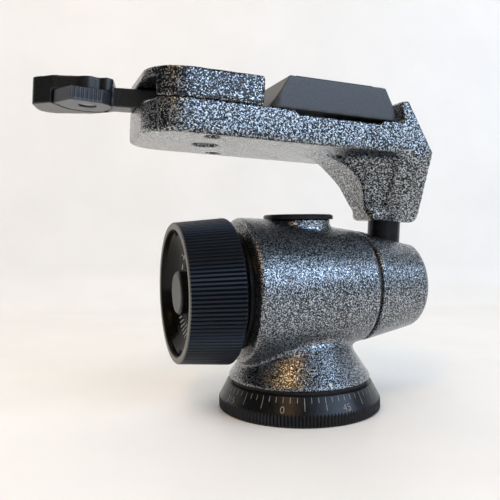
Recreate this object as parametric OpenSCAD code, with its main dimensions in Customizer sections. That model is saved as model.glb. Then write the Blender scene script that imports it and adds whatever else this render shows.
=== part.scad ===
// Three way tilt and pan head for a tripod: a graduated pan base, a horizontal
// barrel with one large lock knob, a turning nose with a tilting post, and an
// angled arm that carries a quick release seat. Millimetres, +Z up, origin at
// the centre of the base's underside, +X along the barrel towards the nose.

/* [Pan base] */
// Diameter of the base ring over the knurl
base_d = 60; // [56:0.5:66]
// Height of the knurled band
band_h = 3.85; // [3:0.05:5]
// Height of the base ring
base_h = 9.75; // [9:0.25:11]
// Diameter of the graduated cone at its top edge
scale_top_d = 53.7; // [52:0.1:55]
// Number of knurl grooves round the band
knurl_count = 150; // [60:2:180]
// Depth of one knurl groove
knurl_depth = 0.45; // [0.2:0.05:0.8]
// Diameter of the tripod thread in the base
tripod_thread_d = 9.525; // [6.35:0.005:9.6]
// Depth of the tripod thread
tripod_thread_depth = 8.5; // [7:0.5:9]

/* [Housing] */
// Height of the barrel's axis above the base's underside
axis_h = 43.8; // [43:0.2:50]
// Diameter of the skirt where it meets the base
skirt_d = 52.6; // [51:0.1:54]
// Diameter of the skirt's cone at half the axis height
skirt_waist_d = 39.6; // [38:0.2:44]
// Diameter of the barrel at the knob end
barrel_d = 52.6; // [51.5:0.2:54]
// Diameter of the barrel at the nose seam
seam_d = 42.6; // [42:0.1:45]
// Distance from the pan axis to the barrel's knob end
barrel_back = 24.6; // [24:0.1:27]
// Distance from the pan axis to the nose seam
barrel_front = 23.1; // [22.8:0.1:24]
// Diameter of the bore along the barrel
main_bore_d = 24; // [23.8:0.1:24.6]
// Height of the level's rim above the base's underside
level_top_h = 71.1; // [70.4:0.05:74]
// Diameter of the level's rim
level_d = 25.9; // [24:0.1:28]

/* [Lock knob] */
// Diameter of the knob at its open face
knob_face_d = 49.2; // [48:0.2:50]
// Diameter of the knob at its back edge
knob_back_d = 52.2; // [51:0.2:54]
// Length of the knob
knob_len = 19; // [18.5:0.5:24]
// Gap between the knob and the barrel
knob_gap = 4; // [3.2:0.1:5]
// Number of grip grooves round the knob
rib_count = 112; // [40:1:124]
// Depth of one grip groove
rib_depth = 0.5; // [0.3:0.05:1]
// Diameter of the dish in the knob's face
dish_d = 43; // [40:0.2:44]
// Diameter of the friction dial in the dish
dial_d = 15.2; // [13:0.2:17]

/* [Nose and post] */
// Distance from the pan axis to the flat end of the nose
nose_end = 47; // [46:0.1:49]
// Diameter of the nose at its flat end, before the edge is rounded
nose_end_d = 33.2; // [32.6:0.2:36]
// Radius of the nose's end edge
nose_edge_r = 3.25; // [1:0.25:3.5]
// Distance from the pan axis to the tilt axis
tilt_x = 35.6; // [35.4:0.1:36]
// Diameter of the tilt drum
drum_d = 15.2; // [14.6:0.1:15.4]
// Diameter of the post
post_d = 12.4; // [11:0.1:12.6]
// Distance from the tilt axis to the foot of the arm
foot_h = 24.6; // [24.4:0.1:28]
// Outward lean of the post in the rest position, in degrees
post_lean = 3; // [-2:0.5:10]

/* [Arm] */
// Distance from the tilt axis to the arm's underside
arm_under = 48; // [46:0.5:54]
// Thickness of the arm
arm_t = 10.9; // [9.5:0.1:13]
// Width of the arm
arm_w = 48.4; // [46:0.2:54]
// Reach of the arm from the post axis to its rounded end
arm_reach = 98.7; // [97:0.1:104]
// Corner radius of the arm's rounded end
arm_end_r = 14; // [10:0.5:18]
// Radius of the hollow between the arm and its leg
leg_hollow_r = 26; // [16:0.5:28]
// Width of the leg at its foot
leg_rib_t = 13; // [12.6:0.2:14]
// Height of the fixed lip above the seat
lip_h = 7.6; // [6:0.1:9]

/* [Quick release] */
// Width of the plate's foot between its bevels
plate_foot = 48.6; // [46:0.1:48.8]
// Height of the plate
plate_h = 10.9; // [9:0.1:13]
// Bevel angle of the plate from the vertical, in degrees
plate_bevel = 30; // [25:0.5:34]
// Height of the clamp block above the seam
block_h = 9.6; // [8.8:0.1:12]
// Thickness of the lever's arm
lever_t = 6.6; // [5.5:0.1:6.8]
// Width of the lever's arm
lever_w = 9.6; // [8:0.1:10]
// Length of the lever from its pivot to its tip
lever_len = 60; // [56:0.5:66]
// Outward angle of the lever in the rest position, in degrees
lever_rest = 12; // [8:0.5:14]
// Travel of the clamp jaw
jaw_travel = 4.2; // [3:0.1:4.2]
// Diameter of the camera thread
camera_thread_d = 6.35; // [6.35:0.001:9.525]
// Height of the camera screw above the plate's pad
camera_screw_h = 5.5; // [4:0.5:6]

/* [Hidden] */
$fn = 96;

// running clearance of a shaft in its hole, and of two faces that slide
run = 0.05;
face_gap = 0.1;
// clearance of a fixed piece in its seat
snug = 0.02;
// overlap that lets one cut run past a face
past = 1;

// colours of the enamel, the black metal, the plain metal and the brass
enamel = [0.36, 0.39, 0.42];
black_metal = [0.09, 0.1, 0.11];
plain_steel = [0.62, 0.63, 0.65];
brass_metal = [0.72, 0.56, 0.28];

// ---- heights and stations worked out from the sizes above
skirt_z = base_h + 1.25;
knob_back_x = -barrel_back - knob_gap;
knob_face_x = knob_back_x - knob_len;
seam_gap = 0.8;
nose_x = barrel_front + seam_gap;
spigot_r = main_bore_d/2 + 3;
spigot_end = tilt_x - 8.3;
cap_r = 20.5;
cap_screw_r = 16.2;
cap_front_x = -barrel_back + 4.5;
cap_out_x = -barrel_back - 1.8;
spindle_r = 6;
flange_r = 9;
screw_r = 4;
block_r = main_bore_d/2 - 0.25;
sleeve_r = main_bore_d/2 - run;
sleeve_back = -14;
sleeve_front = 13.9;
thrust_x = 18.2;
brake_back_x = 19;
drum_r = drum_d/2;
drum_half = 8.9;
post_slot = post_d/2 + 0.4;
pan_r = 8;
pan_thread_r = 5;
nut_z = 24;

module along_x(x0) translate([x0, 0, axis_h]) rotate([0, 90, 0]) children();
module disc_x(r, x0, x1) along_x(x0) cylinder(r = r, h = x1 - x0);
module disc_z(r, z0, z1) translate([0, 0, z0]) cylinder(r = r, h = z1 - z0);
module ring_z(r_out, r_in, z0, z1) difference() {
    disc_z(r_out, z0, z1);
    disc_z(r_in, z0 - past, z1 + past);
}
// a turned shape whose outline is given as [radius, station along X]
module turned_x(outline) along_x(0) rotate_extrude() polygon(outline);
// a quarter round of the outline, from angle a0 to a1 about a centre
function arc(cx, cy, r, a0, a1, n = 6) =
    [for (i = [0:n]) let (a = a0 + (a1 - a0)*i/n) [cx + r*cos(a), cy + r*sin(a)]];

// ================= pan base =================

scale_r = scale_top_d/2;
base_r = base_d/2;
bush_r = tripod_thread_d/2 + 2.2;

// the land left between two grooves is what this stands proud of the ring
knurl_land = 0.06;
module knurl_prism() translate([0, 0, -past]) linear_extrude(base_h + 2*past)
    polygon([for (i = [0:knurl_count*2 - 1])
        let (a = i*180/knurl_count, r = i % 2 == 0 ? base_r + knurl_land : base_r - knurl_depth)
        [r*cos(a), r*sin(a)]]);

module base_ring() color(black_metal) difference() {
    intersection() {
        rotate_extrude() polygon([[0, 0], [base_r - 0.6, 0], [base_r, 0.5], [base_r, band_h],
            [scale_r, base_h], [0, base_h]]);
        knurl_prism();
    }
    disc_z(bush_r + snug, -past, base_h + past);
    for (a = [0:120:240]) rotate(a) translate([foot_screw_pcd/2, 0, 0]) {
        translate([0, 0, -past]) cylinder(r = 2.8, h = 3 + past);
        cylinder(r = 1.55, h = base_h + past);
    }
}

foot_screw_pcd = 30;

module thread_bush() color(plain_steel) ring_z(bush_r, tripod_thread_d/2, 0, tripod_thread_depth);

module pan_spindle() color(plain_steel) difference() {
    union() {
        disc_z(pan_r, base_h, nut_z);
        disc_z(foot_screw_pcd/2 + 3, base_h, base_h + 0.85);
        disc_z(pan_thread_r, nut_z, nut_z + 6.8);
    }
    for (a = [0:120:240]) rotate(a) translate([foot_screw_pcd/2, 0, base_h - past])
        cylinder(r = 1.5 + snug, h = 4);
}

module base_screws() color(plain_steel) for (a = [0:120:240]) rotate(a)
    translate([foot_screw_pcd/2, 0, 0]) difference() {
        union() {
            translate([0, 0, 1.2]) cylinder(r = 2.7, h = 1.8);
            translate([0, 0, 3]) cylinder(r = 1.5, h = base_h + 0.8 - 3);
        }
        cylinder(r = 1.1, h = 2.2, $fn = 6);
    }

module pan_friction_ring() color(black_metal)
    ring_z(skirt_d/2 - 1.1, foot_screw_pcd/2 + 3.3, base_h, skirt_z - face_gap);

module spindle_washer() color(plain_steel)
    ring_z(9.6, pan_thread_r + run, nut_z + face_gap, nut_z + 1.2);

module spindle_nut() color(plain_steel) difference() {
    translate([0, 0, nut_z + 1.2]) cylinder(r = 9, h = 5, $fn = 6);
    disc_z(pan_thread_r + snug, nut_z, nut_z + 8);
}

// ================= housing =================

barrel_r = barrel_d/2;
seam_r = seam_d/2;
// radius of the barrel at a station, a gentle crown that falls towards the seam
function barrel_at(x) = let (t = (x + barrel_back - 1.6)/(barrel_front + barrel_back - 1.6))
    barrel_r - (barrel_r - seam_r)*pow(max(t, 0), 1.45);
barrel_steps = 14;

module barrel() turned_x(concat(
    [[0, -barrel_back]],
    arc(barrel_r - 1.6, -barrel_back + 1.6, 1.6, -90, -10, 5),
    [for (i = [0:barrel_steps]) let (x = -barrel_back + 1.6
        + (barrel_front + barrel_back - 2.2)*i/barrel_steps) [barrel_at(x), x]],
    [[seam_r - 0.6, barrel_front], [0, barrel_front]]));

waist_z = axis_h/2;
function skirt_at(z) = skirt_d/2
    - (skirt_d - skirt_waist_d)/2*(z - skirt_z - 0.9)/(waist_z - skirt_z - 0.9);

module skirt() rotate_extrude() polygon([[0, skirt_z], [skirt_d/2 - 0.4, skirt_z],
    [skirt_d/2, skirt_z + 0.4], [skirt_d/2, skirt_z + 0.9], [skirt_at(axis_h*0.68), axis_h*0.68],
    [0, axis_h*0.68]]);

level_rim = 1.75;
level_neck_r = level_d/2 - 1.2;
level_seat_r = 9;
level_z = level_top_h - level_rim;
level_stem = 5;

module housing() color(enamel) difference() {
    union() {
        skirt();
        barrel();
        disc_z(level_neck_r, axis_h + 10, level_z);
        disc_x(spigot_r, barrel_front - 1, spigot_end);
    }
    disc_x(main_bore_d/2, cap_front_x - past, spigot_end + past);
    disc_x(cap_r + snug, -barrel_back - past, cap_front_x);
    disc_z(pan_r + run, skirt_z - past, nut_z + past);
    disc_z(10.2, nut_z, axis_h);
    disc_z(level_seat_r + snug, axis_h, level_z + past);
    disc_z(level_d/2 + snug, level_z, level_top_h + past);
    for (a = [30:120:270]) along_x(0) rotate(a) translate([cap_screw_r, 0, cap_front_x - past])
        cylinder(r = 1.2 + snug, h = 7 + past);
    turned_x([[spigot_r - 0.8, spigot_end - 2.4], [spigot_r + past, spigot_end - 2.4],
        [spigot_r + past, spigot_end - 1.1], [spigot_r - 0.8, spigot_end - 1.1]]);
}

module end_cap() color(black_metal) difference() {
    turned_x([[0, cap_out_x], [cap_r - 0.5, cap_out_x], [cap_r, cap_out_x + 0.5],
        [cap_r, cap_front_x], [0, cap_front_x]]);
    disc_x(spindle_r + run, cap_out_x - past, cap_front_x + past);
    for (a = [30:120:270]) along_x(0) rotate(a) translate([cap_screw_r, 0, cap_out_x]) {
        translate([0, 0, -past]) cylinder(r = 2.4, h = 2 + past);
        cylinder(r = 1.3, h = 12);
    }
}

module end_cap_screws() color(plain_steel) for (a = [30:120:270])
    along_x(0) rotate(a) translate([cap_screw_r, 0, cap_out_x]) difference() {
        union() {
            translate([0, 0, 0.6]) cylinder(r = 2.3, h = 1.4);
            translate([0, 0, 2]) cylinder(r = 1.2, h = cap_front_x - cap_out_x + 3);
        }
        cylinder(r = 0.9, h = 1.4, $fn = 6);
    }

module level_bezel() color(black_metal) difference() {
    union() {
        rotate_extrude() polygon([[0, level_z], [level_d/2, level_z],
            [level_d/2, level_top_h - 0.5], [level_d/2 - 0.5, level_top_h], [0, level_top_h]]);
        disc_z(level_seat_r, level_z - level_stem, level_z);
    }
    disc_z(7.6 + snug, level_z - level_stem + 1.2, level_top_h + past);
}

module level_vial() color([0.75, 0.86, 0.5, 0.6])
    rotate_extrude() polygon([[0, level_z - level_stem + 1.2], [7.6, level_z - level_stem + 1.2],
        [7.6, level_top_h - 0.7], [7.2, level_top_h - 0.4], [0, level_top_h - 0.25]]);

guide_z = nut_z + 6.9;
plunger_r = 3;

module plunger_guide() color(brass_metal)
    ring_z(10.2 - snug, plunger_r + run, guide_z, axis_h - sleeve_r - 0.4);

module pan_plunger() color(plain_steel)
    disc_z(plunger_r, guide_z - 0.05, axis_h - sleeve_r + 2.2);

module nose_washer() color(black_metal)
    difference() {
        disc_x(seam_r - 1, barrel_front, nose_x - face_gap);
        disc_x(spigot_r + snug, barrel_front - past, nose_x + past);
    }

module nose_retaining_ring() color(plain_steel) turned_x([
    [spigot_r - 0.75, spigot_end - 2.3], [spigot_r + 0.7, spigot_end - 2.3],
    [spigot_r + 0.7, spigot_end - 1.2], [spigot_r - 0.75, spigot_end - 1.2]]);

// ================= lock knob =================

knob_face_r = knob_face_d/2;
knob_back_r = knob_back_d/2;
knob_taper = atan((knob_back_r - knob_face_r)/knob_len);
knob_wall = 2.4;
knob_edge_r = 1.2;

module knob_profile() turned_x(concat(
    [[0, knob_face_x], [knob_face_r - 0.4, knob_face_x], [knob_face_r, knob_face_x + 0.4],
    [knob_back_r, knob_back_x - knob_edge_r]],
    arc(knob_back_r - knob_edge_r, knob_back_x - knob_edge_r, knob_edge_r, 0, 90, 5),
    [[0, knob_back_x]]));

// one vee groove laid along the knob's tapered side
module grip_groove() along_x(knob_face_x - past) translate([knob_face_r - past*tan(knob_taper), 0, 0])
    rotate([0, knob_taper, 0]) linear_extrude(knob_len + 3*past)
    polygon([[-rib_depth, 0], [0.3, -rib_width/2], [0.3, rib_width/2]]);
rib_width = PI*knob_face_d/rib_count*0.86;

module lock_knob() color(black_metal) difference() {
    knob_profile();
    for (i = [0:rib_count - 1]) translate([0, 0, axis_h]) rotate([i*360/rib_count, 0, 0])
        translate([0, 0, -axis_h]) grip_groove();
    disc_x(dish_d/2 + snug, knob_face_x - past, knob_face_x + dish_depth);
    disc_x(spindle_r + snug, knob_face_x, knob_back_x + past);
    turned_x([[spindle_r + 5, knob_back_x - 4], [knob_back_r - knob_wall - rib_depth, knob_back_x - 4],
        [knob_back_r - knob_wall - rib_depth, knob_back_x + past], [spindle_r + 5, knob_back_x + past]]);
    translate([grub_x, 0, axis_h]) cylinder(r = 1.5 + snug, h = spindle_r + 8);
}
dish_depth = 9.5;
dish_rim = 0.6;
grub_x = knob_back_x - 2.6;

module knob_grub_screw() color(plain_steel) translate([grub_x, 0, axis_h + spindle_r]) difference() {
    cylinder(r = 1.5, h = 4.4);
    translate([0, 0, 2.4]) cylinder(r = 0.85, h = 3, $fn = 6);
}

bowl_r = dish_d/2 - 0.3;
dial_r = dial_d/2;
module knob_dish() color(black_metal) turned_x(concat(
    [[dish_d/2, knob_face_x + dish_depth], [dish_d/2, knob_face_x + dish_rim],
    [bowl_r, knob_face_x + dish_rim]],
    [for (a = [10:10:90]) [dial_r + 0.6 + (bowl_r - dial_r - 0.6)*cos(a),
        knob_face_x + dish_rim + (dish_depth - dish_rim - 1.1)*sin(a)]],
    [[dial_r + 0.25, knob_face_x + dish_depth - 1.1],
    [dial_r + 0.25, knob_face_x + dish_depth]]));

module friction_dial() color(black_metal) union() {
    turned_x([[0, knob_face_x + 1], [dial_r - 0.7, knob_face_x + 1], [dial_r, knob_face_x + 1.7],
        [dial_r, knob_face_x + dish_depth - face_gap], [0, knob_face_x + dish_depth - face_gap]]);
    disc_x(3, knob_face_x + dish_depth - 1, knob_back_x + 2);
}

module knob_spindle() color(plain_steel) difference() {
    union() {
        disc_x(spindle_r, knob_face_x + dish_depth, cap_front_x + face_gap);
        disc_x(flange_r, cap_front_x + face_gap, cap_front_x + 2.5);
        disc_x(screw_r, cap_front_x + 2.5, 3);
    }
    disc_x(3 + run, knob_face_x, knob_back_x + 2.5);
}

// ================= clamping train in the barrel =================

module push_sleeve() color(plain_steel) difference() {
    union() {
        disc_x(sleeve_r, sleeve_back, sleeve_front);
        disc_x(4.9, sleeve_front - 1, thrust_x - 1.8);
    }
    disc_x(screw_r + run, sleeve_back - past, 4.2);
    translate([-5.5, -plunger_r - 0.4, axis_h - sleeve_r - past])
        cube([11, 2*plunger_r + 0.8, 2.5 + past]);
}

spring_count = 4;
spring_pitch = (thrust_x - sleeve_front)/spring_count;
module disc_spring(x0, up) turned_x(up
    ? [[5.2, x0 + 0.02], [11.3, x0 + spring_pitch - 0.72], [11.3, x0 + spring_pitch - 0.02],
        [5.2, x0 + 0.72]]
    : [[5.2, x0 + spring_pitch - 0.72], [11.3, x0 + 0.02], [11.3, x0 + 0.72],
        [5.2, x0 + spring_pitch - 0.02]]);
module disc_springs() color(plain_steel) for (i = [0:spring_count - 1])
    disc_spring(sleeve_front + i*spring_pitch, i % 2 == 0);

module thrust_washer() color(brass_metal) difference() {
    disc_x(sleeve_r - 0.4, thrust_x, brake_back_x - face_gap);
    disc_x(3, thrust_x - past, brake_back_x + past);
}

module brake_block() color(brass_metal) difference() {
    disc_x(block_r, brake_back_x, tilt_x - 5.1);
    translate([tilt_x, 0, axis_h]) rotate([90, 0, 0])
        cylinder(r = drum_r + run, h = main_bore_d + 2, center = true);
    translate([tilt_x - post_slot - 2.2, -post_slot, axis_h + 3])
        cube([10, 2*post_slot, block_r]);
}

// ================= nose, drum and post =================

nose_r = nose_end_d/2;
nose_lip = 0.7;
module nose_cone() color(enamel) difference() {
    turned_x(concat([[0, nose_x], [seam_r - nose_lip - 0.2, nose_x]],
        arc(seam_r - nose_lip - 0.2, nose_x + nose_lip, nose_lip, -90, 0, 4),
        arc(nose_r - nose_edge_r + 0.45, nose_end - nose_edge_r, nose_edge_r, 10, 90, 7),
        [[0, nose_end]]));
    disc_x(spigot_r + run, nose_x - past, spigot_end + 0.15);
    turned_x([[0, spigot_end - 2.45], [spigot_r + 0.8, spigot_end - 2.45],
        [spigot_r + 0.8, spigot_end - 1.05], [0, spigot_end - 1.05]]);
    disc_x(block_r + run, nose_x, tilt_x);
    translate([tilt_x, 0, axis_h]) rotate([90, 0, 0])
        cylinder(r = drum_r + run, h = 2*drum_half + 2*face_gap, center = true);
    translate([spigot_end + 0.1, -post_slot, axis_h])
        cube([nose_end - spigot_end + past, 2*post_slot, seam_r]);
    disc_x(post_slot, tilt_x, nose_end + past);
}

// places a piece in the arm's own frame: u along the arm, v across it, w up
module in_arm() translate([tilt_x, 0, axis_h]) rotate([0, post_lean, 0]) children();
module disc_w(r, w0, w1) translate([0, 0, w0]) cylinder(r = r, h = w1 - w0);

stud_r = 4.5;
stud_up = 13;
module tilt_drum() color(plain_steel) in_arm() difference() {
    rotate([90, 0, 0]) cylinder(r = drum_r, h = 2*drum_half, center = true);
    disc_w(stud_r + snug, -4.02, drum_r + past);
}

module post() color(black_metal) in_arm() difference() {
    union() {
        disc_w(stud_r, -4, drum_r);
        difference() {
            disc_w(post_d/2, 4, foot_h);
            rotate([90, 0, 0]) cylinder(r = drum_r + snug, h = 3*drum_r, center = true);
        }
        disc_w(stud_r, foot_h - past, foot_h + stud_up);
    }
    translate([0, 0, foot_h + 7]) rotate([90, 0, 0]) cylinder(r = 1.25, h = 20, center = true);
}

// ================= arm =================

seat_w = arm_under + arm_t;
lever_floor = seat_w - 0.6;
pivot_u = -73.85;
wall_foot = 9.9;
wall_knee = 4.1;
plate_mid = -34.6;
lip_inner = plate_mid + plate_foot/2 + 2.4;
lip_top_inner = plate_mid + plate_foot/2 + 0.35;
foot_half = leg_rib_t/2;

module arm_plan(end_u) hull() {
    for (s = [-1, 1]) translate([-arm_reach + arm_end_r, s*(arm_w/2 - arm_end_r)])
        circle(r = arm_end_r);
    translate([end_u - 1, -arm_w/2]) square([1, arm_w]);
}

// outline of the outer wall and the lip, drawn as [u, w]
wall_outline = concat(
    arc(-11 + 2, foot_h + 2, 2, 180, 270, 4),
    arc(wall_foot - 2.2, foot_h + 2.2, 2.2, -90, 10, 5),
    [[wall_knee, arm_under + 1.2], [lip_top_inner + 3.1, seat_w + lip_h],
    [lip_top_inner, seat_w + lip_h - 0.4], [lip_inner, seat_w], [lip_inner, arm_under + 1],
    [-8.6, arm_under], [-5.4, foot_h + 3], [-11, foot_h + 3]]);
// the wall seen along the arm: full width at the arm, narrow at the foot
wall_front = [[-foot_half, foot_h - 0.1], [foot_half, foot_h - 0.1], [arm_w/2, arm_under + 1],
    [arm_w/2, seat_w + lip_h + past], [-arm_w/2, seat_w + lip_h + past], [-arm_w/2, arm_under + 1]];
// the middle rib with its hollow, drawn as [u, w]
rib_front = -10.5;
rib_foot = foot_h + 1;
hollow_w = arm_under - leg_hollow_r;
hollow_from = asin(max(0, rib_foot - hollow_w)/leg_hollow_r);
rib_outline = concat([[0, rib_foot], [rib_front - leg_hollow_r*(1 - cos(hollow_from)), rib_foot]],
    arc(rib_front - leg_hollow_r, hollow_w, leg_hollow_r, hollow_from, 90, 14),
    [[rib_front - leg_hollow_r, arm_under + 1], [0, arm_under + 1]]);
// the rib's sides flare towards the arm and the wall, as planes turned by this angle
rib_turn = 39.6;
rib_flare = 0.973;
rib_inset = 9.4 - (leg_rib_t - 13)/2;
module rib_wedge() rotate([0, rib_turn, 0]) rotate([90, 0, 90]) translate([0, 0, -70])
    linear_extrude(120) polygon([[0, rib_inset/rib_flare], [rib_reach, (rib_reach + rib_inset)/rib_flare],
        [-rib_reach, (rib_reach + rib_inset)/rib_flare]]);
rib_reach = 40;
// half the width of the rib at the foot, where the flare has run out
rib_core = foot_half - 0.8;

module across(half) rotate([90, 0, 0]) translate([0, 0, -half]) linear_extrude(2*half) children();

module leg_wall() intersection() {
    across(arm_w/2) polygon(wall_outline);
    rotate([90, 0, 90]) translate([0, 0, -30]) linear_extrude(60) polygon(wall_front);
}

channel_left = plate_mid - 15.7;
channel_right = plate_mid + 17.6;
channel_depth = 1.4;
block_end_u = plate_mid - plate_foot/2 - 2.1;
// clamp block screws, given as [u, v]
block_screw_at = [[-76.5, -18.6], [-65.6, 18.6]];

// directions of the lever's two limits, measured from the arm's axis
function out_dir(a) = [-cos(a), sin(a)];
function far_side(a) = [sin(a), cos(a)];
lever_swing = 42;
slot_half = lever_w/2 + 0.25;
pivot = [pivot_u, 0];
cam_min = 6;
cam_max = cam_min + jaw_travel;
cam_play = 0.7;
pocket_r = cam_max + 0.5;
slot_len = 46;

// the space swept by the lever, seen from above
module lever_space() {
    far = lever_rest + 1;
    near = lever_rest - lever_swing - 1;
    translate(pivot) circle(r = pocket_r);
    polygon([pivot + slot_half*far_side(far), pivot + slot_half*far_side(far) + slot_len*out_dir(far),
        pivot - slot_half*far_side(near) + slot_len*out_dir(near), pivot - slot_half*far_side(near)]);
}

module arm_bracket() color(enamel) in_arm() difference() {
    union() {
        translate([0, 0, arm_under]) linear_extrude(arm_t) arm_plan(lip_inner + 1);
        leg_wall();
        across(rib_core) polygon(rib_outline);
        intersection() {
            across(arm_w/2) polygon(rib_outline);
            rib_wedge();
        }
    }
    disc_w(stud_r + snug, foot_h - past, foot_h + stud_up + 0.1);
    translate([0, 0, foot_h + 7]) rotate([90, 0, 0]) cylinder(r = 1.25 + snug, h = 12, center = true);
    translate([0, 0, lever_floor]) linear_extrude(2) lever_space();
    across(arm_w) polygon([[channel_left, seat_w + past], [channel_left, seat_w],
        [channel_left + 1.4, seat_w - channel_depth], [channel_right, seat_w - channel_depth],
        [channel_right + 0.5, seat_w], [channel_right + 0.5, seat_w + past]]);
    translate([pivot_u, 0, arm_under - past]) cylinder(r = 4.6, h = 4 + past);
    translate([pivot_u, 0, arm_under]) cylinder(r = 2.5 + snug, h = arm_t + past);
    for (p = block_screw_at) translate([p[0], p[1], arm_under - past]) {
        cylinder(r = 2.6, h = 3.5 + past);
        cylinder(r = 1.5 + snug, h = arm_t + 2);
    }
    translate([release_u, 0, arm_under + 1]) cylinder(r = 3 + snug, h = arm_t);
}

module post_cross_pin() color(plain_steel) in_arm() translate([0, 0, foot_h + 7])
    rotate([90, 0, 0]) cylinder(r = 1.25 - snug, h = 11.6, center = true);

// ================= clamp block and lever =================

block_top = seat_w + block_h;
slot_top = seat_w + lever_t - 0.1;
jaw_half = 14;
jaw_low = seat_w + 0.15;
jaw_top = slot_top - face_gap;

module clamp_block() color(enamel) in_arm() difference() {
    translate([0, 0, seat_w]) linear_extrude(block_h) intersection() {
        arm_plan(block_end_u);
        translate([-arm_reach - 1, -arm_w/2 - 1]) square([arm_reach + 1 + block_end_u, arm_w + 2]);
    }
    translate([0, 0, seat_w - past]) linear_extrude(slot_top - seat_w + past) lever_space();
    translate([pivot_u, -jaw_half - face_gap, seat_w - past])
        cube([block_end_u - pivot_u + past, 2*(jaw_half + face_gap), slot_top - seat_w + past]);
    translate([pivot_u, 0, seat_w]) cylinder(r = 2.5 + snug, h = block_h - 0.8);
    for (p = block_screw_at) translate([p[0], p[1], seat_w - past])
        cylinder(r = 1.5 + snug, h = 6 + past);
    for (s = [-1, 1]) translate([pivot_u + 2, s*10, slot_top - past])
        cylinder(r = 1 + snug, h = 2.6);
}

module block_screws() color(plain_steel) in_arm() for (p = block_screw_at)
    translate([p[0], p[1], arm_under]) difference() {
        union() {
            translate([0, 0, 1.3]) cylinder(r = 2.5, h = 2.2);
            translate([0, 0, 3.5]) cylinder(r = 1.5, h = arm_t - 3.5 + 5.8);
        }
        translate([0, 0, 0.5]) cylinder(r = 1.2, h = 2, $fn = 6);
    }

module lever_pivot_screw() color(plain_steel) in_arm() translate([pivot_u, 0, arm_under])
    difference() {
        union() {
            translate([0, 0, 0.9]) cylinder(r = 4.4, h = 3.1);
            translate([0, 0, 4]) cylinder(r = 2.5, h = arm_t - 4 + block_h - 1);
        }
        cylinder(r = 1.8, h = 2.6, $fn = 6);
    }

module pivot_nut() color(plain_steel) in_arm() translate([pivot_u, 0, slot_top - 0.6])
    difference() {
        cylinder(r = 4.2, h = 0.55);
        translate([0, 0, -past]) cylinder(r = 2.5 + snug, h = 3);
    }

// places a piece in the lever's frame: x outward from the pivot, y to the near side
module in_lever() in_arm() translate([pivot_u, 0, 0]) rotate([0, 0, 180 - lever_rest]) children();

lever_low = lever_floor + 0.15;
lever_top = lever_low + lever_t - 0.15;
head_top = lever_top + 2.8;
catch_at = [lever_len - 19.5, 2.7];
catch_low = lever_low;
catch_top = lever_low + 4.5;
// the cam grows from its least to its greatest radius over the lever's swing
function cam_at(a) = cam_min - cam_play + jaw_travel*a/lever_swing;

// seen in the lever's frame, the jaw lies at an angle of 180 + lever_rest
cam_outline = [for (a = [0:4:lever_swing]) let (b = 180 + lever_rest - a)
    cam_at(a)*[cos(b), sin(b)]];
cam_heel = [for (a = [lever_swing + 12:14:150]) let (b = 180 + lever_rest - a)
    (cam_max - cam_play - (a - lever_swing)*0.03)*[cos(b), sin(b)]];

module cam_plan() {
    circle(r = cam_min - cam_play);
    polygon(concat([[0, 0]], cam_outline, cam_heel));
}

// the head seen from above: a hook that wraps round the catch
head_x = lever_len - 26;
module head_plan() polygon(concat(
    [[head_x - 2, -lever_w/2], [head_x + 0.5, -lever_w/2 - 2.4], [head_x + 6.5, -11.4]],
    arc(lever_len - 6, -9.6, 5.6, -110, 0, 6),
    arc(lever_len - 3.4, -2, 3, 0, 60, 4),
    [[catch_at[0] + 11.6, 4.6], [catch_at[0] + 4, 5.6], [catch_at[0], 6.9],
    [catch_at[0] - 4, 5.4], [head_x - 0.4, 5.8], [head_x - 2, lever_w/2]]));

// the catch seen from above: a leaf with its tip outward and a thumb pad on the near side
catch_gap = 0.8;
catch_r = 9.8;
catch_back_r = 8.07;
module catch_plan() polygon(concat([[lever_len - 8.6, 4.2], [lever_len - 15.4, 12.2]],
    arc(catch_at[0], catch_at[1], catch_back_r, 133, 205, 6),
    arc(catch_at[0], catch_at[1], catch_r, 243, 350, 9)));
module catch_space() polygon(concat([[lever_len - 7.4, 4.6], [lever_len - 12, 22],
    [lever_len - 25.5, 22]],
    arc(catch_at[0], catch_at[1], catch_back_r + 0.2, 128, 210, 7),
    arc(catch_at[0], catch_at[1], catch_r + catch_gap, 236, 356, 9)));

module clamp_lever() color(black_metal) difference() {
    in_lever() difference() {
        union() {
            translate([0, 0, lever_low]) linear_extrude(lever_top - lever_low) {
                cam_plan();
                translate([0, -lever_w/2]) square([head_x, lever_w]);
            }
            translate([0, 0, lever_low]) linear_extrude(head_top - lever_low) head_plan();
            translate([catch_at[0], catch_at[1], catch_top + 0.2])
                cylinder(r = 4.3, h = head_top - catch_top - 0.2);
            translate([head_x + 0.4, lever_w/2 - 0.9, catch_top + 0.2])
                cylinder(r = 2.3, h = head_top - catch_top - 0.2);
        }
        translate([0, 0, lever_low - past]) linear_extrude(catch_top + 0.15 - lever_low + past)
            catch_space();
        translate([catch_at[0], catch_at[1], lever_low]) cylinder(r = 1.5 + snug, h = 8.6);
    }
    in_arm() translate([pivot_u, 0, lever_low - past]) cylinder(r = 2.5 + run, h = lever_t + 3);
    in_arm() translate([pivot_u, 0, slot_top - 0.75]) cylinder(r = 4.4, h = 2);
}

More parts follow.
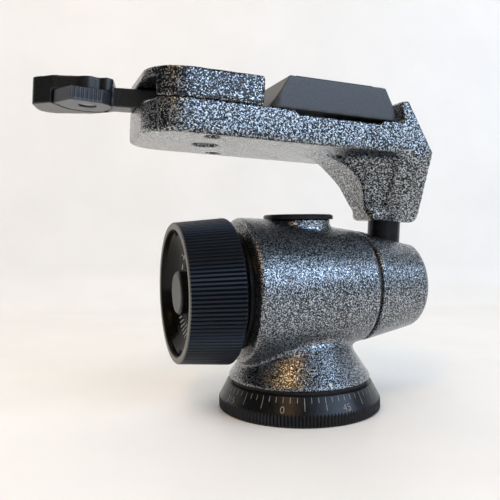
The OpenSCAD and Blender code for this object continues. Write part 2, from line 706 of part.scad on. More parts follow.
// the jaw's face follows the plate's bevel, and a nose on its back rides on the cam
bevel_run = tan(plate_bevel);
jaw_tip = plate_mid - plate_foot/2 - 0.9;
jaw_back = pivot_u + cam_min + 1.9;
nose_half = 1;
module clamp_jaw() color(black_metal) in_arm() difference() {
    union() {
        across(jaw_half) polygon([[jaw_back, jaw_low], [jaw_tip - (jaw_top - jaw_low)*bevel_run, jaw_low],
            [jaw_tip, jaw_top], [jaw_back, jaw_top]]);
        translate([pivot_u + cam_min + nose_half, 0, jaw_low])
            cylinder(r = nose_half, h = jaw_top - jaw_low);
        translate([pivot_u + cam_min + nose_half, -nose_half, jaw_low])
            cube([2, 2*nose_half, jaw_top - jaw_low]);
    }
    for (s = [-1, 1]) translate([jaw_back - past, s*10, (jaw_low + jaw_top)/2]) rotate([0, 90, 0])
        cylinder(r = 0.9, h = 2.6 + past);
}

module jaw_spring_pins() color(plain_steel) in_arm() for (s = [-1, 1])
    translate([pivot_u + 2, s*10, slot_top - 2.4]) cylinder(r = 1, h = 3.9);

module safety_catch() color(black_metal) in_lever() difference() {
    translate([0, 0, catch_low]) linear_extrude(catch_top - catch_low) catch_plan();
    for (i = [0:6]) let (t = (i + 0.6)/7.2)
        translate([lever_len - 15.4 - 9.6*t, 12.2 - 3.6*t, catch_low + 0.7])
        rotate([0, 0, 20.5]) translate([-0.35, -0.45, 0]) cube([0.7, 2, catch_top - catch_low]);
    translate([catch_at[0], catch_at[1], catch_low - past]) {
        cylinder(r = 1.5 + run, h = 12);
        cylinder(r = 3, h = 1.9 + past);
    }
}

module catch_pin() color(plain_steel) in_lever()
    translate([catch_at[0], catch_at[1], 0]) {
        disc_w(2.7, catch_low + 0.5, catch_low + 1.8);
        disc_w(1.5, catch_low + 1.8, lever_low + 8.5);
    }

// a bent leaf spring in the gap between the catch and the head's wall
module catch_spring() color(plain_steel) in_lever() translate([catch_at[0], catch_at[1], 0])
    intersection() {
        difference() {
            disc_w(catch_r + catch_gap - 0.1, catch_low + 1.4, catch_top - 1.4);
            disc_w(catch_r + catch_gap - 0.45, catch_low, catch_top);
        }
        translate([-3, -2*catch_r, 0]) cube([6, catch_r + 4, head_top]);
    }

// ================= seat and plate =================

release_u = channel_right - 4.2;
module release_pin_bush() color(plain_steel) in_arm() translate([release_u, 0, 0]) difference() {
    disc_w(3, arm_under + 1, seat_w - channel_depth);
    disc_w(1.6 + run, arm_under + 2, seat_w);
}

module release_pin() color(brass_metal) in_arm() translate([release_u, 0, 0])
    disc_w(1.6, seat_w - 6, seat_w - 0.3);

plate_bottom = seat_w;
plate_top = seat_w + plate_h;
plate_half = arm_w/2;
plate_corner = 4;
module plate_plan() hull() for (su = [-1, 1], sv = [-1, 1])
    translate([plate_mid + su*(plate_foot/2 - plate_corner), sv*(plate_half - plate_corner)])
    circle(r = plate_corner);

module plate_solid() intersection() {
    translate([0, 0, plate_bottom]) linear_extrude(plate_h) plate_plan();
    across(arm_w) polygon([[plate_mid - plate_foot/2, plate_bottom],
        [plate_mid + plate_foot/2, plate_bottom],
        [plate_mid + plate_foot/2 - plate_h*bevel_run, plate_top],
        [plate_mid - plate_foot/2 + plate_h*bevel_run, plate_top]]);
}

screw_r_cam = camera_thread_d/2;
screw_head_r = 8;
pad_t = 0.9;
// half length of the pad's recess, and the rim left at its ends
pad_half = 14.6;
pad_edge = 3;
plate_web = 3.2;
module quick_plate() color(black_metal) in_arm() difference() {
    plate_solid();
    translate([plate_mid, 0, plate_bottom - past])
        cylinder(r = screw_head_r + 0.3, h = plate_h - plate_web + past);
    translate([plate_mid, 0, 0]) disc_w(screw_r_cam + 0.2, plate_bottom, plate_top + past);
    translate([plate_mid - pad_half, -plate_half + pad_edge, plate_top - 0.5])
        cube([2*pad_half, 2*(plate_half - pad_edge), past]);
}

module plate_pad() color([0.16, 0.15, 0.14]) in_arm() difference() {
    translate([plate_mid - pad_half + 0.1, -plate_half + pad_edge + 0.1, plate_top - 0.5])
        cube([2*pad_half - 0.2, 2*(plate_half - pad_edge) - 0.2, 0.5 + pad_t]);
    translate([plate_mid, 0, 0]) disc_w(screw_r_cam + 0.6, plate_bottom, plate_top + 3);
    for (i = [-6:6]) if (i != 0) translate([plate_mid - 15, i*3.2 - 0.4, plate_top + pad_t - 0.4])
        cube([30, 0.8, past]);
}

head_low = plate_bottom + 2.2;
// a neck under the camera thread lets the screw turn freely in the plate
neck_cut = 0.6;
thread_low = plate_top + pad_t + 0.3;
module camera_screw() color(plain_steel) in_arm() translate([plate_mid, 0, 0]) difference() {
    union() {
        disc_w(screw_head_r - 0.3, head_low, plate_top - plate_web - face_gap);
        disc_w(screw_r_cam - neck_cut, plate_top - plate_web - past, thread_low + past);
        disc_w(screw_r_cam, thread_low, plate_top + pad_t + camera_screw_h);
    }
    translate([-screw_head_r, -0.8, head_low - past]) cube([2*screw_head_r, 1.6, 1.6 + past]);
}

module screw_clip() color(plain_steel) in_arm() translate([plate_mid, 0, 0]) difference() {
    disc_w(screw_head_r + 0.2, head_low - 1.1, head_low - 0.3);
    disc_w(screw_head_r - 2, head_low - 3, head_low + 1);
}

base_ring();
thread_bush();
pan_spindle();
base_screws();
pan_friction_ring();
spindle_nut();
spindle_washer();
housing();
end_cap();
end_cap_screws();
level_bezel();
level_vial();
plunger_guide();
pan_plunger();
nose_washer();
nose_retaining_ring();
lock_knob();
knob_dish();
knob_spindle();
knob_grub_screw();
friction_dial();
push_sleeve();
disc_springs();
thrust_washer();
brake_block();
nose_cone();
tilt_drum();
post();
post_cross_pin();
arm_bracket();
clamp_block();
block_screws();
lever_pivot_screw();
pivot_nut();
clamp_lever();
clamp_jaw();
jaw_spring_pins();
safety_catch();
catch_pin();
catch_spring();
release_pin();
release_pin_bush();
quick_plate();
plate_pad();
camera_screw();
screw_clip();
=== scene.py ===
import bmesh
import bpy
import math
import numpy as np
from mathutils import Matrix, Vector


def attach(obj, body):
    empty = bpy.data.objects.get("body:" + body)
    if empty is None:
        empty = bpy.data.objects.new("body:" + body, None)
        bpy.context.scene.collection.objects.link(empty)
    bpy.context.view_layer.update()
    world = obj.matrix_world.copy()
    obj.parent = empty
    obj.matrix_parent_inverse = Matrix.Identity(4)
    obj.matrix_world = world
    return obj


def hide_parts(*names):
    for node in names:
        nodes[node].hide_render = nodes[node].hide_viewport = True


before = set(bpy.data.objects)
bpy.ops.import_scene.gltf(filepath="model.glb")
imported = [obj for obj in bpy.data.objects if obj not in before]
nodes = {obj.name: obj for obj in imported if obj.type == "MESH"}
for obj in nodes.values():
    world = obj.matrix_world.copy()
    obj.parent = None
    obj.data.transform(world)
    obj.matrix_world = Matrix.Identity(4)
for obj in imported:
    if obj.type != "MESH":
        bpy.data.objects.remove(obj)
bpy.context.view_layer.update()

# ---- Camera, table, wall and lights
# The camera stands where the photograph was taken from, solved from the circles of the base,
# the knob and the seam. A white table meets a white wall some way behind the head.
yaw, pitch, roll = math.radians(19.56), math.radians(1.94), -0.00729
ahead = Vector((math.sin(yaw) * math.cos(pitch), math.cos(yaw) * math.cos(pitch), -math.sin(pitch)))
right = Vector((math.cos(yaw), -math.sin(yaw), 0))
up = right.cross(ahead)
right, up = (math.cos(roll) * right + math.sin(roll) * up, math.cos(roll) * up - math.sin(roll) * right)
camera = bpy.data.objects.new("camera", bpy.data.cameras.new("camera"))
camera.data.lens = camera.data.sensor_width * 620 / 500
camera.data.clip_start = 0.01
camera.matrix_world = Matrix.Translation((-0.09455, -0.21235, 0.06596)) @ Matrix(
    (right, up, -ahead)).transposed().to_4x4()
bpy.context.scene.collection.objects.link(camera)
bpy.context.scene.camera = camera
bpy.context.scene.view_settings.view_transform = "Standard"


def linear(code):
    """An sRGB hex colour as Blender's linear RGBA."""
    values = [int(code[i:i + 2], 16) / 255 for i in (1, 3, 5)]
    return tuple(c / 12.92 if c <= 0.04045 else ((c + 0.055) / 1.055) ** 2.4 for c in values) + (1,)


def add(material, kind, settings=(), **links):
    """Adds a shader node with its settings, and links other nodes' outputs to its inputs."""
    node = material.node_tree.nodes.new("ShaderNode" + kind)
    for key, value in dict(settings).items():
        if isinstance(key, int) or key in node.inputs:
            node.inputs[key].default_value = value
        else:
            setattr(node, key, value)
    for key, output in links.items():
        place = int(key[1:]) if key[0] == "_" and key[1:].isdigit() else key.replace("_", " ")
        material.node_tree.links.new(output, node.inputs[place])
    return node


def start(name, settings):
    """A new material with its principled shader set, and texture coordinates in millimetres."""
    material = bpy.data.materials.new(name)
    material.use_nodes = True
    shader = material.node_tree.nodes["Principled BSDF"]
    for key, value in settings.items():
        shader.inputs[key].default_value = value
    place = add(material, "TexCoord")
    scaled = add(material, "VectorMath", {"operation": "SCALE", "Scale": 1000.0},
                 _0=place.outputs["Object"])
    return material, shader, scaled.outputs[0]


def ramp(material, stops, fac, mode="LINEAR"):
    """A colour ramp through (position, grey or colour) stops."""
    node = add(material, "ValToRGB", Fac=fac)
    node.color_ramp.interpolation = mode
    while len(node.color_ramp.elements) < len(stops):
        node.color_ramp.elements.new(0.5)
    for element, (position, value) in zip(node.color_ramp.elements, stops):
        element.position = position
        element.color = linear(value) if isinstance(value, str) else (value, value, value, 1)
    return node.outputs[0]


def put(mesh, name):
    """A new object with this mesh, in the scene."""
    piece = bpy.data.objects.new(name, mesh)
    bpy.context.scene.collection.objects.link(piece)
    return piece


# matt white laminate of the table, a little mottled
white, shader, spot = start("white_laminate", {"Roughness": 0.42, "Specular IOR Level": 0.35})
speckle = add(white, "TexNoise", {"Scale": 0.02, "Detail": 3.0}, Vector=spot)
white.node_tree.links.new(ramp(white, [(0.3, "#f0efec"), (0.7, "#f5f4f1")], speckle.outputs[0]),
                          shader.inputs["Base Color"])
# the table runs back to a soft corner and up into the wall
wall_y, corner = 0.30, 0.035
profile = [(-3.0, 0.0), (wall_y - corner, 0.0)]
profile += [(wall_y - corner + corner * math.sin(a), corner - corner * math.cos(a))
            for a in np.radians(range(10, 91, 10))]
profile += [(wall_y, 1.6)]
turn = Matrix.Rotation(-yaw * 0.9, 4, "Z")
mesh = bpy.data.meshes.new("table_and_wall")
mesh.from_pydata([turn @ Vector((x, y, z)) for y, z in profile for x in (-2.2, 2.2)], [],
                 [(2 * i, 2 * i + 1, 2 * i + 3, 2 * i + 2) for i in range(len(profile) - 1)])
table = put(mesh, "table_and_wall")
table.data.materials.append(white)
for face in table.data.polygons:
    face.use_smooth = True


def lamp(name, place, aim, size, radiance, colour, mirrored=True):
    """A soft rectangular light that faces a point. One that isn't mirrored lights without showing."""
    light = bpy.data.lights.new(name, "AREA")
    light.shape, light.size, light.size_y = "RECTANGLE", *size
    light.energy, light.color = radiance * math.pi * size[0] * size[1], linear(colour)[:3]
    holder = put(light, name)
    turned = (Vector(aim) - Vector(place)).to_track_quat("-Z", "Y").to_matrix().to_4x4()
    holder.matrix_world = Matrix.Translation(place) @ turned
    holder.visible_glossy = mirrored


# a window high on the near side, one beyond the knob, a warm lamp above, and soft fills
lamp("near_window", (0.50, -0.85, 0.52), (0, 0, 0.06), (1.25, 0.28), 6.8, "#c8e1ff")
lamp("left_window", (-1.1, -0.25, 0.40), (0, 0, 0.05), (0.5, 0.7), 0.7, "#fff4e6", mirrored=False)
lamp("warm_lamp", (-0.43, -0.49, 0.78), (0, 0, 0.02), (0.18, 0.28), 13.0, "#ffca84")
lamp("ceiling_fill", (-0.6, -0.2, 1.5), (-0.1, -0.1, 0), (1.8, 1.8), 1.84, "#fffefb", mirrored=False)
lamp("wall_fill", (-0.8, -0.8, 0.9), (-0.3, 0.3, 0.3), (1.4, 0.8), 0.35, "#fffbf4", mirrored=False)
# the room: darker towards its ceiling and on the left
world = bpy.data.worlds.new("room")
world.use_nodes = True
facing = add(world, "TexCoord")
split = add(world, "SeparateXYZ", Vector=facing.outputs["Generated"])
height = add(world, "MapRange", {1: 0.0, 2: 0.75, 3: 1.0, 4: 0.1}, Value=split.outputs["Z"])
side = add(world, "MapRange", {1: -0.9, 2: 0.1, 3: 0.12, 4: 1.0}, Value=split.outputs["X"])
both = add(world, "Math", {"operation": "MULTIPLY"}, _0=height.outputs[0], _1=side.outputs[0])
tint = ramp(world, [(0.0, "#000000"), (1.0, "#b3b5b8")], both.outputs[0])
world.node_tree.links.new(tint, world.node_tree.nodes["Background"].inputs["Color"])
bpy.context.scene.world = world


# ---- Housing and nose
# Two light alloy castings, stove enamelled with a hammered finish. The skirt runs into the
# barrel with a wide cast fillet, and the neck under the level with a small one.
def hammertone(name, cell, depth, cover=0.0, tones=("#0a0d10", "#191f23", "#70777d", "#bac0c6")):
    """Hammered stoving enamel: dark valleys round silvery flecks. More cover means more fleck."""
    m, s, spot = start(name, {"Coat Roughness": 0.13})
    warp = add(m, "TexNoise", {"Scale": 0.7 / cell, "Detail": 0.0}, Vector=spot)
    bent = add(m, "VectorMath", {"operation": "MULTIPLY_ADD", 1: (cell * 1.3,) * 3},
               _0=warp.outputs["Color"], _2=spot)
    fleck = add(m, "TexNoise", {"Scale": 1.2 / cell, "Detail": 1.0, "Roughness": 0.35,
                                "Distortion": 0.5}, Vector=bent.outputs[0])
    patch = add(m, "TexNoise", {"Scale": 0.08, "Detail": 2.0}, Vector=spot)
    shift = add(m, "Math", {"operation": "MULTIPLY_ADD", 1: 0.03, 2: cover - 0.015}, _0=patch.outputs[0])
    total = add(m, "Math", {"operation": "ADD"}, _0=fleck.outputs[0], _1=shift.outputs[0])
    tone = ramp(m, list(zip((0.42, 0.50, 0.545, 0.60), tones)), total.outputs[0])
    metal = ramp(m, [(0.46, 0.3), (0.56, 0.95)], total.outputs[0])
    gloss = ramp(m, [(0.44, 0.16), (0.58, 0.28)], total.outputs[0])
    coat = ramp(m, [(0.48, 0.18), (0.56, 1.0)], total.outputs[0])
    bump = add(m, "Bump", {"Strength": 1.0, "Distance": depth}, Height=total.outputs[0])
    swell = add(m, "Bump", {"Strength": 1.0, "Distance": 0.00016}, Height=fleck.outputs[0])
    for socket, source in (("Base Color", tone), ("Metallic", metal), ("Roughness", gloss),
                           ("Normal", bump.outputs[0]), ("Coat Weight", coat),
                           ("Coat Normal", swell.outputs[0])):
        m.node_tree.links.new(source, s.inputs[socket])
    return m


def recast(node, name, voxel, rounds):
    """A copy of a CAD node as one even skin, with its sharp edges eased a little."""
    piece = put(nodes[node].data.copy(), "draft")
    skin = piece.modifiers.new("skin", "REMESH")
    skin.mode, skin.voxel_size, skin.use_smooth_shade = "VOXEL", voxel, True
    graph = bpy.context.evaluated_depsgraph_get()
    mesh = bpy.data.meshes.new_from_object(piece.evaluated_get(graph), depsgraph=graph)
    bpy.data.objects.remove(piece)
    mesh.name = name
    mesh.materials.clear()
    ease(mesh, lambda p: np.ones(len(p)), rounds)
    return put(mesh, name)


def points_of(mesh):
    """The vertices of a mesh as rows of an array, in metres."""
    points = np.empty(len(mesh.vertices) * 3)
    mesh.vertices.foreach_get("co", points)
    return points.reshape(-1, 3)


def ease(mesh, weigh, rounds):
    """Moves each vertex towards the middle of its neighbours, as far as weigh(points) says."""
    points = points_of(mesh)
    ends = np.empty(len(mesh.edges) * 2, dtype=np.int64)
    mesh.edges.foreach_get("vertices", ends)
    a, b = ends.reshape(-1, 2).T
    weight = weigh(points * 1000)[:, None] * 0.5
    keep = np.flatnonzero(weight[:, 0] > 0)
    used = np.zeros(len(points), dtype=bool)
    used[keep] = True
    near = used[a] | used[b]
    a, b = a[near], b[near]
    count = np.maximum(np.bincount(a, minlength=len(points)) + np.bincount(b, minlength=len(points)), 1)
    for _ in range(rounds):
        middle = np.empty_like(points)
        for k in range(3):
            middle[:, k] = (np.bincount(a, points[b, k], len(points))
                            + np.bincount(b, points[a, k], len(points))) / count
        points += (middle - points) * weight
    mesh.vertices.foreach_set("co", points.ravel())
    mesh.update()


def dress(piece, material, body, slot, *hidden):
    """Gives a new piece its material and body, and hides the CAD nodes it stands for. slot is not used."""
    piece.data.materials.clear()
    piece.data.materials.append(material)
    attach(piece, body)
    if hidden:
        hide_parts(*hidden)


body_enamel = hammertone("hammertone_stoving_enamel_on_small_castings", 0.46, 0.00013)
# height of the barrel's axis, half the barrel's width at the knob, and radius of the level's neck
axis_h, barrel_half, neck_r = 43.8, 26.3, 11.75


def barrel_radius(p):
    """The barrel's radius at each point's place along it."""
    t = np.clip((p[:, 0] + 23) / 46.1, 0, 1)
    return barrel_half - 5 * t ** 1.45


def fillet_zone(p):
    """1 on the skirt's junction with the barrel, falling to 0 at 5.5 mm from it."""
    across = np.hypot(p[:, 1], p[:, 2] - axis_h)
    skirt = barrel_half - 6.5 * (p[:, 2] - 11.9) / 10
    off = np.hypot(across - barrel_radius(p), np.hypot(p[:, 0], p[:, 1]) - skirt)
    zone = np.clip(1 - (off - 2.0) / 3.5, 0, 1)
    return np.where((p[:, 2] > 12.5) & (p[:, 2] < 38) & (p[:, 0] > -23.2) & (p[:, 0] < 22.3), zone, 0)


def neck_zone(p):
    """1 on the foot of the level's neck, falling to 0 at 2 mm from it."""
    across = np.hypot(p[:, 1], p[:, 2] - axis_h)
    off = np.hypot(np.hypot(p[:, 0], p[:, 1]) - neck_r, across - barrel_radius(p))
    return np.where(p[:, 2] > axis_h + 12, np.clip(1 - (off - 0.7) / 1.3, 0, 1), 0)


housing = recast("housing", "housing_casting", 0.00045, 3)
ease(housing.data, fillet_zone, 70)
ease(housing.data, neck_zone, 30)
dress(housing, body_enamel, "housing", "hammertone_enamel", "housing")

nose = recast("nose_cone", "nose_casting", 0.00045, 3)
dress(nose, body_enamel, "nose", "hammertone_enamel", "nose_cone")

# ---- Arm and clamp block
# The angled arm and the block screwed on its end are castings in the same enamel, with a
# coarser hammer; the block's copy has less fleck and is darker, as painted shade. The leg's rib
# runs into the underside with a wide fillet.
arm_enamel = hammertone("hammertone_stoving_enamel_on_the_arm", 0.66, 0.00022, 0.014,
                        ("#090c0f", "#191f23", "#6c7277", "#acb2b7"))
# where the arm's own frame stands, how far it leans, its underside and its half width, in mm
tilt_axis_x, lean, arm_under, arm_half = 35.6, math.radians(3), 48, 24
in_arm = np.array([[math.cos(lean), 0, -math.sin(lean)], [0, 1, 0], [math.sin(lean), 0, math.cos(lean)]])


def arm_points(p):
    """Points in the arm's own frame: u along it, v across it, w up."""
    return (p - np.array([tilt_axis_x, 0, axis_h])) @ in_arm.T


def rib_zone(p):
    """1 along the corner of rib and underside, falling to 0 at 4.5 mm from it."""
    u, v, w = arm_points(p).T
    rib_side = 0.62 * u + 0.75 * w - 9.4
    under = np.hypot(w - arm_under, np.abs(v) - np.clip(rib_side, 0, arm_half))
    off = np.minimum(under, np.hypot(u + 8.6, w - arm_under))
    keep = (w < 50) & (w > 26) & (u > -38) & (u < -4)
    return np.where(keep, np.clip(1 - (off - 1.5) / 3.0, 0, 1), 0)


def brim_zone(p):
    """1 on the arm's outer edge at the underside, falling to 0 at 4 mm from it."""
    u, v, w = arm_points(p).T
    off = np.hypot(w - arm_under, np.minimum(arm_half + 0.2 - np.abs(v), 98.7 + u))
    return np.where((w < 53) & (w > 46) & (u < -6), np.clip(1 - (off - 1.5) / 2.5, 0, 1), 0)


def straight_foot(mesh):
    """Runs the rib's front straight down into the foot, without the foot's ledge."""
    points = points_of(mesh)
    u, v, w = arm_points(points * 1000).T
    # how far the front moves along the arm, in mm, at these heights over the tilt axis
    push = np.interp(w, (24, 26.5, 28, 32, 36, 37.5), (0.5, 0.4, -0.45, -0.8, -0.3, 0))
    push *= np.clip((-7.5 - u) / 2.0, 0, 1)
    points += push[:, None] * in_arm[0] / 1000
    mesh.vertices.foreach_set("co", points.ravel())
    ease(mesh, foot_zone, 30)


def foot_zone(p):
    """1 on the ledge over the foot, falling to 0 at 2.6 mm from it."""
    u, v, w = arm_points(p).T
    return np.where(u < 3, np.clip(1.6 - np.abs(w - 27.8) / 1.6, 0, 1), 0)


arm = recast("arm_bracket", "arm_casting", 0.0005, 4)
ease(arm.data, rib_zone, 60)
ease(arm.data, brim_zone, 10)
straight_foot(arm.data)
dress(arm, arm_enamel, "arm", "hammertone_enamel", "arm_bracket")
# the block's copy of the enamel has less fleck than the arm's and is darker: painted shade
block_enamel_painted_darker = hammertone("hammertone_enamel_painted_darker_on_the_clamp_block", 0.66, 0.00018, -0.042)
block = recast("clamp_block", "clamp_block_casting", 0.0005, 4)
dress(block, block_enamel_painted_darker, "arm", "hammertone_enamel", "clamp_block")

# ---- Plain finishes of the carried-over pieces
# Turned, pressed and cut small parts keep their CAD shape: steel and brass from bar, black
# anodised aluminium, a slide plastic for the friction rings and rubber for the plate's pad.


def finish(name, base, darker, metallic, rough, grain=0.6, bump=0.00001, **extra):
    """A fine mottled finish: two close colours, with roughness and bump from the same grain."""
    m, s, spot = start(name, {"Metallic": metallic, **extra})
    grit = add(m, "TexNoise", {"Scale": grain, "Detail": 4.0, "Roughness": 0.6}, Vector=spot)
    m.node_tree.links.new(ramp(m, [(0.35, darker), (0.65, base)], grit.outputs[0]), s.inputs["Base Color"])
    m.node_tree.links.new(ramp(m, [(0.3, rough - 0.04), (0.7, rough + 0.05)], grit.outputs[0]),
                          s.inputs["Roughness"])
    fine = add(m, "TexNoise", {"Scale": 6.0, "Detail": 3.0}, Vector=spot)
    lift = add(m, "Bump", {"Strength": 0.35, "Distance": bump}, Height=fine.outputs[0])
    m.node_tree.links.new(lift.outputs[0], s.inputs["Normal"])
    return m


def wear(material, *names):
    """Puts a material on CAD nodes in place of the plain one they came with."""
    for name in names:
        nodes[name].data.materials.clear()
        nodes[name].data.materials.append(material)


anodised = finish("black_anodised_aluminium", "#1e1f23", "#18191c", 0.55, 0.3)
steel = finish("turned_steel", "#a9abae", "#8e9094", 1.0, 0.3, 2.0)
black_steel = finish("blackened_steel", "#222326", "#17181a", 0.7, 0.3)
brass = finish("turned_brass", "#c9a45c", "#b28d48", 1.0, 0.3, 2.0)
slide_plastic = finish("black_slide_plastic", "#0c0c0c", "#080808", 0.0, 0.5)
catch_grey = finish("dark_grey_glass_filled_moulding", "#3f444b", "#343940", 0.1, 0.34, 1.2, 0.00002)
lever_black = finish("black_glass_filled_moulding", "#1b1c1e", "#141516", 0.1, 0.3, 1.2, 0.00002)
rubber = finish("black_pad_rubber", "#1b1a19", "#131212", 0.0, 0.7, 1.5, 0.00003)
plate_grey = finish("dark_grey_hard_anodised_plate", "#4a4c4f", "#404144", 0.5, 0.42, 1.4)
wear(anodised, "base_ring", "end_cap", "level_bezel", "clamp_jaw")
wear(steel, "thread_bush", "pan_spindle", "base_screws", "spindle_nut", "spindle_washer", "end_cap_screws",
     "pan_plunger", "nose_retaining_ring", "knob_spindle", "knob_grub_screw", "push_sleeve", "disc_springs",
     "tilt_drum", "post_cross_pin", "block_screws", "lever_pivot_screw", "pivot_nut", "jaw_spring_pins",
     "catch_pin", "catch_spring", "release_pin_bush", "screw_clip")
wear(brass, "plunger_guide", "thrust_washer", "brake_block", "release_pin")
wear(slide_plastic, "pan_friction_ring", "nose_washer")
wear(black_steel, "post")
wear(rubber, "plate_pad")

# ---- Lever, catch and plate
# The lever is a black moulding and its catch a dark grey one, with edges eased by the mould. The
# plate is hard anodised and a little greyer, and its sawn edges are broken.
for node, name, voxel, rounds, material, body, slot in (
        ("clamp_lever", "clamp_lever_moulding", 0.00028, 3, lever_black, "lever", "lever_plastic"),
        ("safety_catch", "catch_moulding", 0.00020, 1, catch_grey, "catch", "lever_plastic"),
        ("quick_plate", "plate_eased", 0.00035, 3, plate_grey, "plate", "black_anodised")):
    dress(recast(node, name, voxel, rounds), material, body, slot, node)

# ---- Lock knob
# Turned from bar, with ribs cut along it, and anodised blue-black. The narrow face round the dish
# and the flat of the dial are painted lighter, as painted reflection of the pale room. The dish is a glossy
# moulding.
knob_face_x, dial_hole_r, mouth_r = -47.6, 8.2, 22.35


def paint_face_reflection(material, shader, spot, edge, colour, base):
    """Lightens the parts nearer to the open face than edge, in mm: painted reflection of the pale room on a
    flat face.
    """
    x = add(material, "SeparateXYZ", Vector=spot)
    reflection_mask = add(material, "MapRange", {1: edge + 0.05, 2: edge - 0.05}, Value=x.outputs["X"])
    mix = add(material, "MixRGB", {"Color1": linear(base), "Color2": linear(colour)}, Fac=reflection_mask.outputs[0])
    material.node_tree.links.new(mix.outputs[0], shader.inputs["Base Color"])


knob_black, shader, spot = start("blue_black_anodised_knob", {"Metallic": 0.6, "Roughness": 0.4})
# the knob's narrow face is painted lighter: painted reflection of the pale room
paint_face_reflection(knob_black, shader, spot, knob_face_x + 0.35, "#66655f", "#161b23")
fine = add(knob_black, "TexNoise", {"Scale": 7.0, "Detail": 3.0}, Vector=spot)
lift = add(knob_black, "Bump", {"Strength": 0.3, "Distance": 0.00001}, Height=fine.outputs[0])
knob_black.node_tree.links.new(lift.outputs[0], shader.inputs["Normal"])
knob = nodes["lock_knob"].data.copy()
dish = nodes["knob_dish"].data.copy()
for mesh in (knob, dish):
    for vertex in mesh.vertices:
        x, y, z = vertex.co * 1000
        r = math.hypot(y, z - axis_h)
        # the wall of the knob's mouth moves out, and the dish widens to fill it
        if mesh == dish:
            grown = dial_hole_r + (r - dial_hole_r) * 1.062
        else:
            grown = mouth_r if x < -37 and 21.3 < r < 21.7 else r
        vertex.co = Vector((x, y * grown / r, axis_h + (z - axis_h) * grown / r)) / 1000
dress(put(knob, "lock_knob_turned"), knob_black, "knob", "black_anodised", "lock_knob")
dish_gloss = finish("glossy_black_moulding", "#0b0a09", "#080706", 0.0, 0.17,
                    **{"Specular IOR Level": 0.22})
dress(put(dish, "knob_dish_moulding"), dish_gloss, "knob", "dish_gloss", "knob_dish")
dial_metal, shader, spot = start("satin_turned_dial", {"Metallic": 0.6, "Roughness": 0.42})
# the dial's flat is painted lighter: painted reflection of the pale room
paint_face_reflection(dial_metal, shader, spot, knob_face_x + 1.35, "#444540", "#16171a")
wear(dial_metal, "friction_dial")

# ---- Printed and engraved marks
# The pan scale is engraved in the base ring's cone and filled with grey. A friction scale and
# two signs are printed in the knob's dish. A white dot on the skirt is the pan's index.


def marks(name, strokes, surface, material, body, slot):
    """A thin mesh of strokes, each a four-sided outline given in the surface's own coordinates."""
    mesh = bpy.data.meshes.new(name)
    points = [Vector(surface(*corner)) / 1000 for stroke in strokes for corner in stroke]
    mesh.from_pydata(points, [], [tuple(range(4 * i, 4 * i + 4)) for i in range(len(strokes))])
    dress(put(mesh, name), material, body, slot)


def stroke(a, b, width, scale=1.0):
    """A straight stroke from a to b; scale is how many mm one unit of the first coordinate is."""
    along = Vector(((b[0] - a[0]) * scale, b[1] - a[1])).normalized() * width / 2
    side = Vector((-along.y / scale, along.x))
    return [tuple(Vector(end) + way * side) for end, way in ((a, -1), (b, -1), (b, 1), (a, 1))]


cone_top, cone_foot, zero = (26.85, 9.75), (30.0, 3.85), -125.0
cone_run = Vector((cone_foot[0] - cone_top[0], cone_foot[1] - cone_top[1])).normalized()


def on_cone(angle, down, proud=0.03):
    """A point on the base ring's cone, an angle round it and so many mm down from its top edge."""
    r = cone_top[0] + cone_run.x * down - cone_run.y * proud
    z = cone_top[1] + cone_run.y * down + cone_run.x * proud
    return r * math.cos(math.radians(angle)), r * math.sin(math.radians(angle)), z


fill = finish("grey_engraving_fill", "#a6a39b", "#918e86", 0.0, 0.55)
ticks = []
for i in range(72):
    length = 2.1 if i % 9 == 0 or i % 3 else 4.7
    ticks.append(stroke((zero + 5 * i, 0.25), (zero + 5 * i, length), 0.15, math.radians(28)))
marks("pan_scale_ticks", ticks, on_cone, fill, "base", "black_anodised")

numerals = bpy.data.meshes.new("pan_scale_numerals")
gather = bmesh.new()
for i in range(8):
    word = bpy.data.curves.new("numeral", "FONT")
    word.body, word.size, word.align_x, word.offset = str(45 * i), 3.4, "CENTER", -0.07
    holder = put(word, "numeral")
    graph = bpy.context.evaluated_depsgraph_get()
    flat = bpy.data.meshes.new_from_object(holder.evaluated_get(graph), depsgraph=graph)
    for vertex in flat.vertices:
        x, y = vertex.co.x, vertex.co.y
        vertex.co = Vector(on_cone(zero + 45 * i + math.degrees(x / 28.5), 5.6 - y)) / 1000
    gather.from_mesh(flat)
    bpy.data.objects.remove(holder)
gather.to_mesh(numerals)
dress(put(numerals, "pan_scale_numerals"), fill, "base", "black_anodised")


def on_bowl(angle, r):
    """A point in the knob's dish, an angle round it and a radius from the barrel's axis."""
    deep = 0.6 + 7.8 * math.sin(math.acos(min((r - dial_hole_r) / 13.8, 1)))
    return (knob_face_x + deep - 0.05, -r * math.cos(math.radians(angle)),
            axis_h + r * math.sin(math.radians(angle)))


print_white = finish("white_pad_print", "#d9d9d4", "#c9c9c4", 0.0, 0.5)
growing = [stroke((-150 + 6 * k, 18.9 - 0.7 - 0.62 * k), (-150 + 6 * k, 18.9), 0.22, 0.3)
           for k in range(7)]
sign = [stroke(a, b, 0.25, 0.29) for a, b in (
    ((134 - 4.5, 16.6), (134 + 4.5, 16.6)), ((134, 15.3), (134, 17.9)), ((151 - 4, 16.6), (151 + 4, 16.6)))]
marks("friction_scale", growing + sign, on_bowl, print_white, "knob", "dish_gloss")

dot = bpy.data.meshes.new("pan_index_dot")
dot_height, dot_out, dot_r, skirt_slope = 13.1, 25.62, 0.55, 0.65
dot_turn = Matrix.Rotation(math.radians(-89.3), 3, "Z")
rim = [(dot_out - skirt_slope * dot_r * math.sin(t), dot_r * math.cos(t), dot_height + dot_r * math.sin(t))
       for t in np.linspace(0, 2 * math.pi, 24, endpoint=False)]
dot.from_pydata([dot_turn @ Vector(q) / 1000 for q in rim], [], [tuple(range(24))])
dress(put(dot, "pan_index_dot"), print_white, "housing", "hammertone_enamel")

# ---- Threads
# A 1/4 inch thread on the camera screw and a 3/8 inch thread in the tripod bush, both cut in
# turned steel. The solids have plain cylinders there, and the threads stay inside their sizes.
camera_screw_u = 34.6


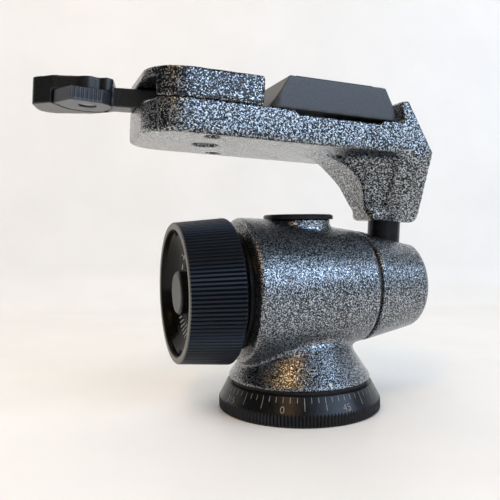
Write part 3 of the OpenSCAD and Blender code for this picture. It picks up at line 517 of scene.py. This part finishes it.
def thread(low, high, crest, root, pitch, place):
    """A cut thread as one skin from low to high, in mm, as points and faces. place puts it."""
    per, around = 8, 40
    rows = int((high - low) / pitch * per) + 2 * per
    flank = (crest - root) * 0.5
    shape = [root, root, root + flank, crest, crest, crest - flank, root, root]
    points = []
    for i in range(around + 1):
        for j in range(rows):
            z = low - pitch + (j / per + i / around) * pitch
            r = shape[j % per] if low < z < high else root
            a = 2 * math.pi * i / around
            points.append(place((r * math.cos(a), r * math.sin(a), min(max(z, low), high))))
    faces = [(i * rows + j, (i + 1) * rows + j, (i + 1) * rows + j + 1, i * rows + j + 1)
             for i in range(around) for j in range(rows - 1)]
    return points, faces


def on_plate(q):
    """A point given about the camera screw's axis, in mm, as a point of the scene, in metres."""
    u, v, w = q[0] - camera_screw_u, q[1], q[2]
    return Vector((tilt_axis_x + u * math.cos(lean) + w * math.sin(lean), v,
                   axis_h - u * math.sin(lean) + w * math.cos(lean))) / 1000


screw = nodes["camera_screw"].data.copy()
for vertex in screw.vertices:
    u, v, w = arm_points(np.array([list(vertex.co)]) * 1000)[0]
    u += camera_screw_u
    # the plain cylinder shrinks to the thread's core
    if w > 70.5 and 2.9 < math.hypot(u, v) < 3.3:
        vertex.co = on_plate((u * 0.756, v * 0.756, min(w, 76.1)))
points, faces = thread(71.1, 76.0, 3.17, 2.4, 1.27, on_plate)
joined = bmesh.new()
joined.from_mesh(screw)
added = [joined.verts.new(q) for q in points]
for face in faces:
    joined.faces.new([added[k] for k in face])
bmesh.ops.remove_doubles(joined, verts=added, dist=1e-7)
joined.to_mesh(screw)
dress(put(screw, "camera_screw_threaded"), steel, "camera_fixing", "plain_steel", "camera_screw")

points, faces = thread(0.3, 8.4, 4.1, 4.74, 1.5875, lambda q: Vector(q) / 1000)
bore = bpy.data.meshes.new("tripod_thread_cut")
bore.from_pydata(points, [], faces)
dress(put(bore, "tripod_thread_cut"), steel, "base", "plain_steel")

# ---- Spirit level
# An acrylic vial of tinted fluid, pressed into the bezel, with a printed ring and one round
# bubble under its dome.
vial, shader, spot = start("tinted_fluid_in_an_acrylic_vial", {"Roughness": 0.06, "Coat Weight": 0.6})
offset = add(vial, "VectorMath", {"operation": "MULTIPLY", 1: (1.0, 1.0, 0.0)}, _0=spot)
radius = add(vial, "VectorMath", {"operation": "LENGTH"}, _0=offset.outputs[0])
span = add(vial, "MapRange", {1: 0.0, 2: 8.0}, Value=radius.outputs["Value"])
rings = [(0.0, "#e9f2b0"), (0.23, "#dfeb92"), (0.27, "#8d9a35"), (0.30, "#c2d256"), (0.39, "#bccd4c"),
         (0.40, "#16180c"), (0.45, "#16180c"), (0.46, "#b7c848"), (1.0, "#8f9f30")]
vial.node_tree.links.new(ramp(vial, rings, span.outputs[0]), shader.inputs["Base Color"])
wear(vial, "level_vial")
